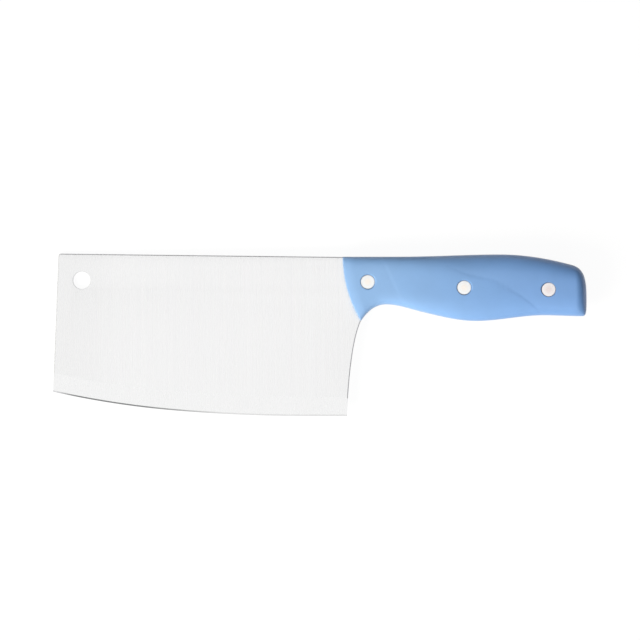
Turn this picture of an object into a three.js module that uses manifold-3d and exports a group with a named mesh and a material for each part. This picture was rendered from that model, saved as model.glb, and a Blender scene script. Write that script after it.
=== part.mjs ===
// A butcher knife: a square-nosed stainless blade whose tang runs the full length of the handle,
// two moulded plastic scales, and three two-piece cutler's rivets that clamp the scales on the tang.
// Millimetres, +Z up. The knife lies on its side: X runs from the nose (-X) to the butt (+X),
// Y from the cutting edge (-Y) to the spine (+Y), and Z through its thickness.
// Inside the knife, the zero point is on the spine line where the scales begin, at half thickness.

import * as THREE from 'three';
import { ParametricGeometry } from 'three/addons/geometries/ParametricGeometry.js';
import { mergeGeometries, mergeVertices } from 'three/addons/utils/BufferGeometryUtils.js';
import Module from 'manifold-3d';

const wasm = await Module();
wasm.setup();

// Driving dimensions of the blade
const STEEL_THICKNESS = 2.5; // one sheet, blade and tang
const SPINE_LENGTH = 160.1; // nose corner to the front of the scales
const SPINE_RISE = 1.9; // nose corner above the handle's top line
const NOSE_CORNER = 1.8; // rounding of the nose corner
const TOE_REACH = 163.2; // toe of the edge to the front of the scales
const BLADE_DEPTH = 89.65; // handle's top line down to the flat of the edge
const TOE_RISE = 13.65; // how far the edge sweeps up at the toe
const SWEEP_RADIUS = 865; // long sweep of the edge ahead of the heel
const SWEEP_RUN = 76; // stretch that it covers
const HEEL_FLAT = 23.6; // straight stretch of the edge at the heel
const HEEL_SETBACK = 2.4; // heel corner behind the front of the scales
const HEEL_LEAN = 0.042; // sideways run per unit of rise of the back edge at the heel
const HEEL_REACH = 21.5; // how far up the back edge keeps that lean
const CHOIL_LEAN = 0.47; // the same where the back edge meets the scales
const CHOIL_REACH = 10; // how far down the back edge keeps that lean
const GRIND_HEIGHT = 10.5; // ground bevel, up from the edge
const BEVEL_HEIGHT = 0.8; // cutting bevel, up from the edge
const BEVEL_THICKNESS = 0.6; // steel left where the cutting bevel begins
const EDGE_THICKNESS = 0.15; // steel left at the edge itself
const HANG_HOLE_DIAMETER = 9.9;
const HANG_HOLE_SETBACK = 13.1; // behind the nose corner
const HANG_HOLE_DROP = 15.1; // below the nose corner

// Driving dimensions of the handle's outline, back from the front of the scales,
// or forward from the butt where they are a setback, and down from the top line
const HANDLE_LENGTH = 137.1;
const TOP_LEVEL_REACH = 31; // the top line runs level up to here
const HUMP_REACH = 88.6;
const HUMP_RISE = 1.3;
const SHOULDER_SETBACK = 10.1;
const SHOULDER_DROP = 4.1;
const SHOULDER_SLOPE = -0.26;
const BUTT_DROP = 25.7; // level of the rearmost point
const FOOT_SETBACK = 2.6; // lower corner of the butt
const FOOT_DROP = 33.4;
const WAIST_SETBACK = 24;
const WAIST_DROP = 32.9;
const BELLY_REACH = 75.1;
const BELLY_DROP = 36.1;
const NECK_REACH = 44.7; // middle of the slope between finger groove and belly
const NECK_DROP = 31;
const NECK_SLOPE = -0.24;
const GROOVE_REACH = 24.5; // top of the finger groove
const GROOVE_DROP = 26.8;
const CHIN_REACH = 10.3; // lowest point of the scales' front edge
const CHIN_DROP = 36;
const CHIN_SLOPE = 1.5;

// Driving dimensions of the scales' section
const SCALE_FRONT_THICKNESS = 6.2;
const SCALE_FRONT_FLARE = 0.03; // how fast the thickness grows behind the front
const SCALE_SWELL_THICKNESS = 8.2;
const SCALE_SWELL_REACH = 80;
const SCALE_BUTT_THICKNESS = 7.4;
const SCALE_BUTT_TAPER = 0.02; // how fast the thickness falls towards the butt
const BUTT_ROUNDING = 7; // length over which the butt rounds off
const FRONT_ROUNDING = 1.2; // radius along the front edge
const FRONT_EDGE_POWER = 6.2; // superellipse power of the section: tightly rounded at the front
const SWELL_EDGE_POWER = 2.7; // fuller from the swell to the butt
const BUTT_EDGE_POWER = 2.5; // the same, along the handle at the butt
const CORNER_POWER = 3.3; // superellipse power of the butt's corners in the side view

// Driving dimensions of the rivets
const RIVET_HEAD_DIAMETER = 8;
const RIVET_HEAD_HEIGHT = 1.5; // seat to the crest of the head
const RIVET_DOME = 0.2;
const RIVET_RIM = 0.3; // chamfer round the head
const RIVET_RECESS = 0.1; // crest below the scale's face
const SOCKET_DIAMETER = 5;
const POST_DIAMETER = 3.2;
const POST_CHAMFER = 0.4;
const FRONT_RIVET_REACH = 13.9;
const FRONT_RIVET_DROP = 14.2;
const MIDDLE_RIVET_OFFSET = 3.3; // behind the mid-point of the outer two
const MIDDLE_RIVET_DROP = 17.4;
const REAR_RIVET_SETBACK = 22;
const REAR_RIVET_DROP = 18.5;

// Clearances
const HEAD_CLEARANCE = 0.3; // all round a rivet head in its counterbore
const SHANK_CLEARANCE = 0.1; // all round a socket in its holes
const POST_CLEARANCE = 0.05; // all round a post in its socket
const END_GAP = 0.4; // past the ends of the post and the socket

// Fineness of the facets
const FRONT_STEPS = 4;
const GROOVE_STEPS = 17;
const BODY_STEPS = 18;
const BUTT_STEPS = 9;
const SECTION_STEPS = 14;
const EDGE_STEPS = 64;
const CURVE_STEPS = 18;
const RIVET_SIDES = 24;
const DOME_STEPS = 3;
const SPARE = 5; // how far a cutting solid reaches past what it cuts

const halfSteel = STEEL_THICKNESS / 2;
const edgeLevel = -BLADE_DEPTH;
const shoulderReach = HANDLE_LENGTH - SHOULDER_SETBACK;
const footReach = HANDLE_LENGTH - FOOT_SETBACK;
const frontRadius = (CHIN_REACH ** 2 + CHIN_DROP ** 2) / (2 * CHIN_REACH);
const flatStart = HEEL_SETBACK - HEEL_FLAT;
const sweepTurn = Math.asin(SWEEP_RUN / SWEEP_RADIUS);
const toeRadius = toeSweepRadius();

// Radius of the tighter sweep, which goes on from the long one without a kink and ends at the toe.
function toeSweepRadius() {
  const ahead = TOE_REACH + flatStart - SWEEP_RUN;
  const rise = TOE_RISE - SWEEP_RADIUS * (1 - Math.cos(sweepTurn));
  const along = ahead * Math.cos(sweepTurn) + rise * Math.sin(sweepTurn);
  const off = rise * Math.cos(sweepTurn) - ahead * Math.sin(sweepTurn);
  return (along ** 2 + off ** 2) / (2 * off);
}

// A smooth line through stops that each give a place, a level and a slope.
function lineThrough(stops) {
  return (x) => {
    const passed = stops.filter((stop) => stop.x <= x).length;
    const index = THREE.MathUtils.clamp(passed - 1, 0, stops.length - 2);
    const a = stops[index];
    const b = stops[index + 1];
    const span = b.x - a.x;
    const t = (x - a.x) / span;
    const lift = a.y + (b.y - a.y) * t * t * (3 - 2 * t);
    return lift + span * t * (1 - t) * (a.slope * (1 - t) - b.slope * t);
  };
}

// What is left of a height of 1 after a rounded corner has run from 0 to 1.
function corner(run, power) {
  const inside = THREE.MathUtils.clamp(run, 0, 1);
  return (1 - inside ** power) ** (1 / power);
}

const topStops = lineThrough([
  { x: 0, y: 0, slope: 0 },
  { x: TOP_LEVEL_REACH, y: 0, slope: 0 },
  { x: HUMP_REACH, y: HUMP_RISE, slope: 0 },
  { x: shoulderReach, y: -SHOULDER_DROP, slope: SHOULDER_SLOPE },
]);

const undersideStops = lineThrough([
  { x: CHIN_REACH, y: -CHIN_DROP, slope: CHIN_SLOPE },
  { x: GROOVE_REACH, y: -GROOVE_DROP, slope: 0 },
  { x: NECK_REACH, y: -NECK_DROP, slope: NECK_SLOPE },
  { x: BELLY_REACH, y: -BELLY_DROP, slope: 0 },
  { x: HANDLE_LENGTH - WAIST_SETBACK, y: -WAIST_DROP, slope: 0 },
  { x: footReach, y: -FOOT_DROP, slope: 0 },
]);

const scaleThickness = lineThrough([
  { x: 0, y: SCALE_FRONT_THICKNESS, slope: SCALE_FRONT_FLARE },
  { x: SCALE_SWELL_REACH, y: SCALE_SWELL_THICKNESS, slope: 0 },
  { x: HANDLE_LENGTH, y: SCALE_BUTT_THICKNESS, slope: -SCALE_BUTT_TAPER },
]);

const edgePower = lineThrough([
  { x: 0, y: FRONT_EDGE_POWER, slope: 0 },
  { x: SCALE_SWELL_REACH, y: SWELL_EDGE_POWER, slope: 0 },
  { x: HANDLE_LENGTH, y: SWELL_EDGE_POWER, slope: 0 },
]);

// The handle's top line at a place along it, down to the rearmost point of the butt.
function topLine(x) {
  if (x <= shoulderReach) return topStops(x);
  const past = x - shoulderReach;
  const slope = -SHOULDER_DROP + SHOULDER_SLOPE * past;
  const fall = BUTT_DROP - SHOULDER_DROP + SHOULDER_SLOPE * SHOULDER_SETBACK;
  return slope - fall * (1 - corner(past / SHOULDER_SETBACK, CORNER_POWER));
}

// The handle's underside at a place along it; ahead of the chin it runs on down in a straight line.
function underside(x) {
  if (x < CHIN_REACH) return -CHIN_DROP + CHIN_SLOPE * (x - CHIN_REACH);
  if (x <= footReach) return undersideStops(x);
  const rise = FOOT_DROP - BUTT_DROP;
  return -FOOT_DROP + rise * (1 - corner((x - footReach) / FOOT_SETBACK, CORNER_POWER));
}

// The scales' front edge, an arc that leaves the top line square to it.
function frontArc(y) {
  return frontRadius - Math.sqrt(frontRadius ** 2 - y ** 2);
}

// Height of a scale's face above the middle of the steel.
function scaleFace(x, y) {
  const middle = (topLine(x) + underside(x)) / 2;
  const half = (topLine(x) - underside(x)) / 2;
  const across = half > 0 ? corner(Math.abs(y - middle) / half, edgePower(x)) : 0;
  const along = corner((x - HANDLE_LENGTH + BUTT_ROUNDING) / BUTT_ROUNDING, BUTT_EDGE_POWER);
  const lead = THREE.MathUtils.clamp((x - frontArc(y)) / FRONT_ROUNDING, 0, 1);
  const eased = FRONT_ROUNDING * (1 - Math.sqrt(1 - (1 - lead) ** 2));
  return halfSteel + (scaleThickness(x) - eased) * across * along;
}

// Places along the handle where its section is taken, closer together at both rounded ends
// and along the finger groove.
function sectionPlaces() {
  const places = [];
  for (let step = 0; step < FRONT_STEPS; step += 1) {
    places.push(FRONT_ROUNDING * (1 - Math.cos((step / FRONT_STEPS) * (Math.PI / 2))));
  }
  for (let step = 0; step < GROOVE_STEPS; step += 1) {
    places.push(THREE.MathUtils.lerp(FRONT_ROUNDING, NECK_REACH, step / GROOVE_STEPS));
  }
  for (let step = 0; step < BODY_STEPS; step += 1) {
    places.push(THREE.MathUtils.lerp(NECK_REACH, shoulderReach, step / BODY_STEPS));
  }
  for (let step = 0; step <= BUTT_STEPS; step += 1) {
    places.push(shoulderReach + SHOULDER_SETBACK * Math.sin((step / BUTT_STEPS) * (Math.PI / 2)));
  }
  return places;
}

const places = sectionPlaces();

function topPoint(place) {
  return new THREE.Vector2(place, topLine(place));
}

function undersidePoint(place) {
  const x = THREE.MathUtils.lerp(CHIN_REACH, HANDLE_LENGTH, place / HANDLE_LENGTH);
  return new THREE.Vector2(x, underside(x));
}

// A point of the handle's side view: which section, and how far across it from the top line.
function sidePoint(along, across) {
  const place = places[Math.round(along * (places.length - 1))];
  const cosine = Math.cos(Math.PI * across);
  const drop = (1 - Math.sign(cosine) * Math.abs(cosine) ** (2 / edgePower(place))) / 2;
  const point = topPoint(place).lerp(undersidePoint(place), drop);
  const bow = frontArc(CHIN_DROP * drop) - CHIN_REACH * drop;
  point.x += bow * (1 - place / HANDLE_LENGTH) ** 2;
  return point;
}

// A closed geometry as a solid that can be joined and cut.
function solidOf(geometry) {
  const shell = geometry.clone();
  shell.deleteAttribute('normal');
  shell.deleteAttribute('uv');
  const merged = mergeVertices(shell);
  const corners = Array.from(merged.index.array);
  const triVerts = [];
  for (let i = 0; i < corners.length; i += 3) {
    const [a, b, c] = corners.slice(i, i + 3);
    if (a !== b && b !== c && c !== a) triVerts.push(a, b, c);
  }
  return new wasm.Manifold(new wasm.Mesh({
    numProp: 3,
    vertProperties: new Float32Array(merged.attributes.position.array),
    triVerts: new Uint32Array(triVerts),
  }));
}

// A solid as a geometry that a mesh can hold.
function geometryOf(solid) {
  const { vertProperties, triVerts } = solid.getMesh();
  const geometry = new THREE.BufferGeometry();
  geometry.setAttribute('position', new THREE.BufferAttribute(vertProperties, 3));
  geometry.setIndex(new THREE.BufferAttribute(triVerts, 1));
  geometry.computeVertexNormals();
  return geometry;
}

// A profile of radius and height, turned about the Z axis.
function turned(profile) {
  const points = profile.map(([radius, height]) => new THREE.Vector2(radius, height));
  return new THREE.LatheGeometry(points, RIVET_SIDES).rotateX(Math.PI / 2);
}

// The line of the cutting edge: round the toe, along the sweep and out along the flat of the heel. It begins
// one blade depth ahead of the toe, because a tall section square to the sweep leans back over it.
class EdgeLine extends THREE.Curve {
  constructor() {
    super();
    this.sweepLength = SWEEP_RADIUS * sweepTurn;
    this.leadLength = TOE_REACH + flatStart + BLADE_DEPTH;
    this.length = this.leadLength + HANDLE_LENGTH + SPARE - flatStart;
  }

  getPoint(t, target = new THREE.Vector3()) {
    const run = this.leadLength - t * this.length;
    if (run < 0) return target.set(flatStart - run, edgeLevel, 0);
    const sweep = Math.min(run / SWEEP_RADIUS, sweepTurn);
    const toe = sweep + Math.max(run - this.sweepLength, 0) / toeRadius;
    const ahead = SWEEP_RADIUS * Math.sin(sweep) + toeRadius * (Math.sin(toe) - Math.sin(sweep));
    const rise = SWEEP_RADIUS * (1 - Math.cos(sweep)) + toeRadius * (Math.cos(sweep) - Math.cos(toe));
    return target.set(flatStart - ahead, edgeLevel + rise, 0);
  }
}

// Section of the ground steel, square to the edge: cutting bevel, ground bevel, then clear of the sheet.
function grindProfile() {
  const slope = (GRIND_HEIGHT - BEVEL_HEIGHT) / (halfSteel - BEVEL_THICKNESS / 2);
  const clear = halfSteel + SPARE;
  const profile = [
    [EDGE_THICKNESS / 2, 0],
    [BEVEL_THICKNESS / 2, BEVEL_HEIGHT],
    [clear, GRIND_HEIGHT + SPARE * slope],
    [clear, BLADE_DEPTH + SPINE_RISE + HUMP_RISE + TOE_RISE + SPARE * slope],
  ];
  const right = profile.map(([x, y]) => new THREE.Vector2(x, y));
  const left = profile.map(([x, y]) => new THREE.Vector2(-x, y)).reverse();
  return new THREE.Shape([...right, ...left]);
}

// Side view of blade and tang before grinding, with the lower edge left long.
function blankOutline() {
  const nose = new THREE.Vector2(-SPINE_LENGTH, SPINE_RISE);
  const toe = new THREE.Vector2(-TOE_REACH, edgeLevel + TOE_RISE);
  const heel = new THREE.Vector2(HEEL_SETBACK, edgeLevel);
  const alongSpine = nose.clone().negate().setLength(NOSE_CORNER);
  const downNose = toe.clone().sub(nose).setLength(NOSE_CORNER);
  const lowLevel = edgeLevel - SPARE;

  const outline = new THREE.Shape();
  outline.moveTo(nose.x + alongSpine.x, nose.y + alongSpine.y);
  for (const place of places) {
    const point = topPoint(place);
    outline.lineTo(point.x, point.y);
  }
  for (const place of places.slice(0, -1).reverse()) {
    const point = undersidePoint(place);
    outline.lineTo(point.x, point.y);
  }
  outline.bezierCurveTo(
    CHIN_REACH - CHOIL_LEAN * CHOIL_REACH, -CHIN_DROP - CHOIL_REACH,
    heel.x + HEEL_LEAN * HEEL_REACH, heel.y + HEEL_REACH,
    heel.x, heel.y,
  );
  outline.lineTo(heel.x - HEEL_LEAN * SPARE, lowLevel);
  outline.lineTo(toe.x + downNose.x * ((lowLevel - toe.y) / downNose.y), lowLevel);
  outline.lineTo(nose.x + downNose.x, nose.y + downNose.y);
  outline.quadraticCurveTo(nose.x, nose.y, nose.x + alongSpine.x, nose.y + alongSpine.y);

  const hangHole = new THREE.Path();
  const hangX = nose.x + HANG_HOLE_SETBACK;
  const hangY = nose.y - HANG_HOLE_DROP;
  hangHole.absarc(hangX, hangY, HANG_HOLE_DIAMETER / 2, 0, 2 * Math.PI);
  outline.holes.push(hangHole);
  for (const rivet of rivets) {
    const hole = new THREE.Path();
    hole.absarc(rivet.x, rivet.y, SOCKET_DIAMETER / 2 + SHANK_CLEARANCE, 0, 2 * Math.PI);
    outline.holes.push(hole);
  }
  return outline;
}

function bladeGeometry() {
  const blank = new THREE.ExtrudeGeometry(blankOutline(), {
    depth: STEEL_THICKNESS,
    bevelEnabled: false,
    curveSegments: CURVE_STEPS,
  });
  blank.translate(0, 0, -halfSteel);
  const ground = new THREE.ExtrudeGeometry(grindProfile(), {
    steps: EDGE_STEPS,
    extrudePath: new EdgeLine(),
  });
  return geometryOf(solidOf(blank).intersect(solidOf(ground)));
}

// The hole for one rivet in a scale: a shank hole with a counterbore for the head.
function rivetHole(rivet) {
  const shank = SOCKET_DIAMETER / 2 + SHANK_CLEARANCE;
  const head = RIVET_HEAD_DIAMETER / 2 + HEAD_CLEARANCE;
  const top = rivet.crest + SPARE;
  const hole = turned([[0, 0], [shank, 0], [shank, rivet.seat], [head, rivet.seat], [head, top], [0, top]]);
  return hole.translate(rivet.x, rivet.y, 0);
}

// A scale: a moulded face and front edge over a flat seat, drilled for the rivets.
function scaleGeometry() {
  const sections = places.length - 1;
  const face = new ParametricGeometry((across, along, target) => {
    const point = sidePoint(along, across);
    target.set(point.x, point.y, onOutline(along, across) ? halfSteel : scaleFace(point.x, point.y));
  }, SECTION_STEPS, sections);
  const seat = new ParametricGeometry((across, along, target) => {
    const point = sidePoint(along, 1 - across);
    target.set(point.x, point.y, halfSteel);
  }, SECTION_STEPS, sections);
  const front = new ParametricGeometry((across, up, target) => {
    const point = sidePoint(0, across);
    const level = onOutline(0, across) ? halfSteel : scaleFace(point.x, point.y);
    target.set(point.x, point.y, THREE.MathUtils.lerp(halfSteel, level, up));
  }, SECTION_STEPS, 1);
  let scale = solidOf(mergeGeometries([face, seat, front]));
  for (const rivet of rivets) scale = scale.subtract(solidOf(rivetHole(rivet)));
  return geometryOf(scale);
}

// Whether a point of the side view lies on the handle's outline, where a scale's face meets its seat.
function onOutline(along, across) {
  return across === 0 || across === 1 || along === 1;
}

// A rivet's place, with the level of its crest and of the seat under its head.
function rivetAt(x, drop) {
  const crest = scaleFace(x, -drop) - RIVET_RECESS;
  return { x, y: -drop, crest, seat: crest - RIVET_HEAD_HEIGHT };
}

// Profile of a rivet head, from its seat up over the chamfered rim and the low dome to the axis.
function headProfile(rivet) {
  const radius = RIVET_HEAD_DIAMETER / 2;
  const domeRadius = radius - RIVET_RIM;
  const profile = [
    [radius, rivet.seat],
    [radius, rivet.crest - RIVET_DOME - RIVET_RIM],
  ];
  for (let step = 0; step <= DOME_STEPS; step += 1) {
    const out = 1 - step / DOME_STEPS;
    profile.push([domeRadius * out, rivet.crest - RIVET_DOME * out ** 2]);
  }
  return profile;
}

// The solid half of a rivet, whose post is pressed into the socket.
function postGeometry(rivet) {
  const radius = POST_DIAMETER / 2;
  const end = END_GAP - rivet.seat;
  return turned([
    [0, end],
    [radius - POST_CHAMFER, end],
    [radius, end + POST_CHAMFER],
    [radius, rivet.seat],
    ...headProfile(rivet),
  ]);
}

// The hollow half of a rivet, made with its head up and then turned over.
function socketGeometry(rivet) {
  const bore = POST_DIAMETER / 2 + POST_CLEARANCE;
  const end = END_GAP - rivet.seat;
  return turned([
    [0, rivet.seat],
    [bore, rivet.seat],
    [bore, end],
    [SOCKET_DIAMETER / 2, end],
    [SOCKET_DIAMETER / 2, rivet.seat],
    ...headProfile(rivet),
  ]);
}

const frontRivet = rivetAt(FRONT_RIVET_REACH, FRONT_RIVET_DROP);
const rearRivet = rivetAt(HANDLE_LENGTH - REAR_RIVET_SETBACK, REAR_RIVET_DROP);
const middleReach = (frontRivet.x + rearRivet.x) / 2 + MIDDLE_RIVET_OFFSET;
const middleRivet = rivetAt(middleReach, MIDDLE_RIVET_DROP);
const rivets = [frontRivet, middleRivet, rearRivet];

const bladeSteel = { color: 0xe4e5e7, roughness: 0.32, metalness: 1 };
const handlePlastic = { color: 0x86ade0, roughness: 0.38, metalness: 0 };
const rivetMetal = { color: 0xf2efe9, roughness: 0.25, metalness: 1 };

function piece(name, geometry, finish) {
  const mesh = new THREE.Mesh(geometry, new THREE.MeshStandardMaterial(finish));
  mesh.name = name;
  return mesh;
}

function mirrored(mesh) {
  mesh.scale.z = -1;
  return mesh;
}

function handle() {
  const group = new THREE.Group();
  group.add(piece('left_scale', scaleGeometry(), handlePlastic));
  group.add(mirrored(piece('right_scale', scaleGeometry(), handlePlastic)));
  for (const [index, place] of ['front', 'middle', 'rear'].entries()) {
    const rivet = new THREE.Group();
    rivet.position.set(rivets[index].x, rivets[index].y, 0);
    rivet.add(piece(`${place}_rivet_post`, postGeometry(rivets[index]), rivetMetal));
    rivet.add(mirrored(piece(`${place}_rivet_socket`, socketGeometry(rivets[index]), rivetMetal)));
    group.add(rivet);
  }
  return group;
}

const knife = new THREE.Group();
knife.add(piece('blade', bladeGeometry(), bladeSteel));
knife.add(handle());

// The part's zero point is the middle of its box, on the surface that it lies on.
const box = new THREE.Box3().setFromObject(knife);
const middle = box.getCenter(new THREE.Vector3());
knife.position.set(-middle.x, -middle.y, -box.min.z);

const butcherKnife = new THREE.Group();
butcherKnife.add(knife);

export default butcherKnife;
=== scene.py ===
"""A butcher knife on a pale table: satin stainless blade, moulded blue scales and three aluminium rivets.

Every piece stands for one solid of the frame and keeps its place and size. Sizes in the tables below are
millimetres from the knife's own zero point: on the spine line, where the scales begin, at half thickness.
"""

import math

import bmesh
import bpy
import numpy as np
from bpy.props import FloatProperty, FloatVectorProperty, PointerProperty
from mathutils import Matrix, Vector


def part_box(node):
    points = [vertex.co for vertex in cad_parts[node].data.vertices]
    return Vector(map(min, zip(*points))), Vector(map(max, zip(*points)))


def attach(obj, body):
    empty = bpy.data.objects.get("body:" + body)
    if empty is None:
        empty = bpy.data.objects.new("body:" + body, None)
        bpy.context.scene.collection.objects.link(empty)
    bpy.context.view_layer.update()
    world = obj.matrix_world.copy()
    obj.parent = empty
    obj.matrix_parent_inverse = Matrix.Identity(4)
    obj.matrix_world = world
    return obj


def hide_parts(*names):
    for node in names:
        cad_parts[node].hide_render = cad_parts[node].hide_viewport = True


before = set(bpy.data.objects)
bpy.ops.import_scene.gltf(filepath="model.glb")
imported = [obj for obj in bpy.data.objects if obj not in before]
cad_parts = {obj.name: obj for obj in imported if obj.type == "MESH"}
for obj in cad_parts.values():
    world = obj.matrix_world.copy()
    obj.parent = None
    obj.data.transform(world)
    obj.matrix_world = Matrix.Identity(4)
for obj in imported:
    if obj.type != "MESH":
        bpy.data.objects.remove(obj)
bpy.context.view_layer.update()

bl_info = {
    "name": "Butcher Knife",
    "version": (1, 0, 0),
    "blender": (4, 5, 0),
    "location": "View3D > Sidebar > Knife",
    "description": "Models a full-tang butcher knife with moulded scales on its packed frame",
    "category": "Object",
}

MM = 0.001
BODY = "root"
RIVETS = ("front", "middle", "rear")

# What counts as nothing, in metres or as a share, and how close points are welded
TINY = 1e-6
WELD = 1e-7

# Lines of the scales, as stops of place, level and slope along the handle
HANDLE_LENGTH = 137.1
TOP_STOPS = ((0, 0, 0), (31, 0, 0), (88.6, 1.3, 0), (127, -4.1, -0.26))
UNDERSIDE_STOPS = (
    (10.3, -36, 1.5),
    (24.5, -26.8, 0),
    (44.7, -31, -0.24),
    (75.1, -36.1, 0),
    (113.1, -32.9, 0),
    (134.5, -33.4, 0),
)
THICKNESS_STOPS = ((0, 6.2, 0.03), (80, 8.2, 0), (HANDLE_LENGTH, 7.4, -0.02))
EDGE_POWER_STOPS = ((0, 4.2, 0), (80, 2.7, 0), (HANDLE_LENGTH, 2.7, 0))

# Ends of the scales: level of the butt's middle, rounding of both ends, and how square the butt's forms are
BUTT_LEVEL = -25.7
BUTT_ROUNDING = 7
FRONT_ROUNDING = 0.6
BUTT_EDGE_POWER = 2.1
CORNER_POWER = 3.3

# Creases that bound the raised palm pad of a scale, as the same kind of stops
FRONT_CREASE_STOPS = ((24, -2, -2.2), (33, -21.5, -1.9), (38, -26.2, -0.5), (52, -31.5, -0.33))
REAR_CREASE_STOPS = (
    (56, -4.5, -0.55),
    (70, -10.8, -0.3),
    (84, -14.2, -0.35),
    (95, -20.2, -0.58),
    (108, -29.5, -0.95),
)

# Where the two creases fade out along the handle, as start and run
FRONT_FADE = (40, 14)
REAR_FADE = (50, 24)

# The front crease is softer than the rear one by this factor
FRONT_SOFTNESS = 4

# Share of a crease's depth that stays for good, and the run over which the rest of it returns
CREASE_KEEP = 0.3
CREASE_RETURN = 5

# Height over which the creases come in from a scale's rim, and the run over which the pad's grain does
CROWN_RISE = 5
PAD_RUN = 3

# Sections of a scale over its front rounding, its body and its butt, and the steps across each
FRONT_STEPS = 8
BODY_STEPS = 240
BUTT_STEPS = 36
ACROSS_STEPS = 72

# Rivets: a head's depth, rim and dome, then the shanks and their gap to the far head
HEAD_DEPTH = 1.5
HEAD_RIM = 0.35
HEAD_DOME = 0.2
POST_RADIUS = 1.6
POST_CHAMFER = 0.4
SOCKET_RADIUS = 2.5
SOCKET_BORE = 1.65
SOCKET_CHAMFER = 0.2
SHANK_STOP = 0.4

# Steps over a head's rim, over its dome and once round a turned form
RIM_STEPS = 5
DOME_STEPS = 8
ROUND_STEPS = 96

# Rivet holes: the shank's hole, the lip as steps out and up from the mouth, and the drill's overshoot
SHANK_HOLE = 2.6
MOUTH_LIP = ((0, -0.45), (0.06, -0.22), (0.22, -0.06), (0.7, 0.1))
OVERSHOOT = 4

# Places along the frame where the honed edge changes its painted shade: toe, dark stretch and paler heel
HONED_PLACES = (-150, -136, -104, -45)

# The hang hole in the frame
HANG_HOLE = (-133.95, 30.69)
HANG_HOLE_RADIUS = 5

# The blade's finishes in the order of its materials, and the lean in degrees at which three of them end
SATIN, GROUND, HONED, TUMBLED = range(4)
SATIN_LEAN = 2
GROUND_LEAN = 9
HONED_LEAN = 20

# Turns between two faces, in degrees: up to the first they are one, from the others on the edge is sharp
FLAT_TURN = 0.2
ARRIS_TURN = 60
BLADE_SHARP = 40
SCALE_SHARP = 32
RIVET_SHARP = 30

# The plane on which the knife comes to rest: its direction down, and its drop below the frame's origin
REST_DOWN = (-0.03721, -0.00239, -0.99930)
REST_DROP = 2.571

# Screens round the knife: bearings of both ends in degrees, radius, and levels of foot and head in metres
BUTT_FLAG = ((-37, 45), 0.45, (0.03, 0.6))
SPINE_FLAG = ((45, 125), 0.45, (0.12, 0.95))
HIGH_SHADE = ((-48, 150), 0.47, (0.6, 2.6))
PALE_CARD = ((125, 323), 0.8, (0, 0.52))

# The knife's zero point in the frame
scale_low, scale_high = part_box("left_scale")
blade_low, blade_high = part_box("blade")
HUMP_RISE = TOP_STOPS[2][1]
ZERO = Vector((scale_low.x, scale_high.y - HUMP_RISE * MM, (blade_low.z + blade_high.z) / 2))
HALF_STEEL = (blade_high.z - blade_low.z) / 2


def linear(hex_colour):
    """The linear RGB of an sRGB hex colour."""
    parts = [int(hex_colour[i : i + 2], 16) / 255 for i in (1, 3, 5)]
    return [p / 12.92 if p <= 0.04045 else ((p + 0.055) / 1.055) ** 2.4 for p in parts]


class KnifeSizes(bpy.types.PropertyGroup):
    """Sizes that the frame leaves open."""

    arris_radius: FloatProperty(
        name="Arris radius",
        description="Rounding of the steel's spine, nose, heel and tang",
        default=0.65 * MM,
        unit="LENGTH",
    )
    hole_lip: FloatProperty(
        name="Hole lip",
        description="Rounding of the hang hole's rims",
        default=0.15 * MM,
        unit="LENGTH",
    )
    front_crease: FloatProperty(
        name="Front crease",
        description="How far the moulding drops ahead of the palm pad",
        default=0.09 * MM,
        unit="LENGTH",
    )
    rear_crease: FloatProperty(
        name="Rear crease",
        description="How far the moulding drops behind the palm pad",
        default=0.14 * MM,
        unit="LENGTH",
    )
    crease_width: FloatProperty(
        name="Crease width",
        description="Run of the step at the rear edge of the palm pad",
        default=0.55 * MM,
        unit="LENGTH",
    )
    lead_depth: FloatProperty(
        name="Lead-in depth",
        description="How far a scale's face eases down towards its front edge",
        default=0.95 * MM,
        unit="LENGTH",
    )
    lead_run: FloatProperty(
        name="Lead-in run",
        description="Length of that easing",
        default=6.5 * MM,
        unit="LENGTH",
    )
    rivet_gap: FloatProperty(
        name="Rivet gap",
        description="Clearance round a rivet head in its counterbore",
        default=0.12 * MM,
        unit="LENGTH",
    )
    rivet_recess: FloatProperty(
        name="Rivet recess",
        description="Depth of a rivet's crest below the scale",
        default=0.1 * MM,
        unit="LENGTH",
    )


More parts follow.
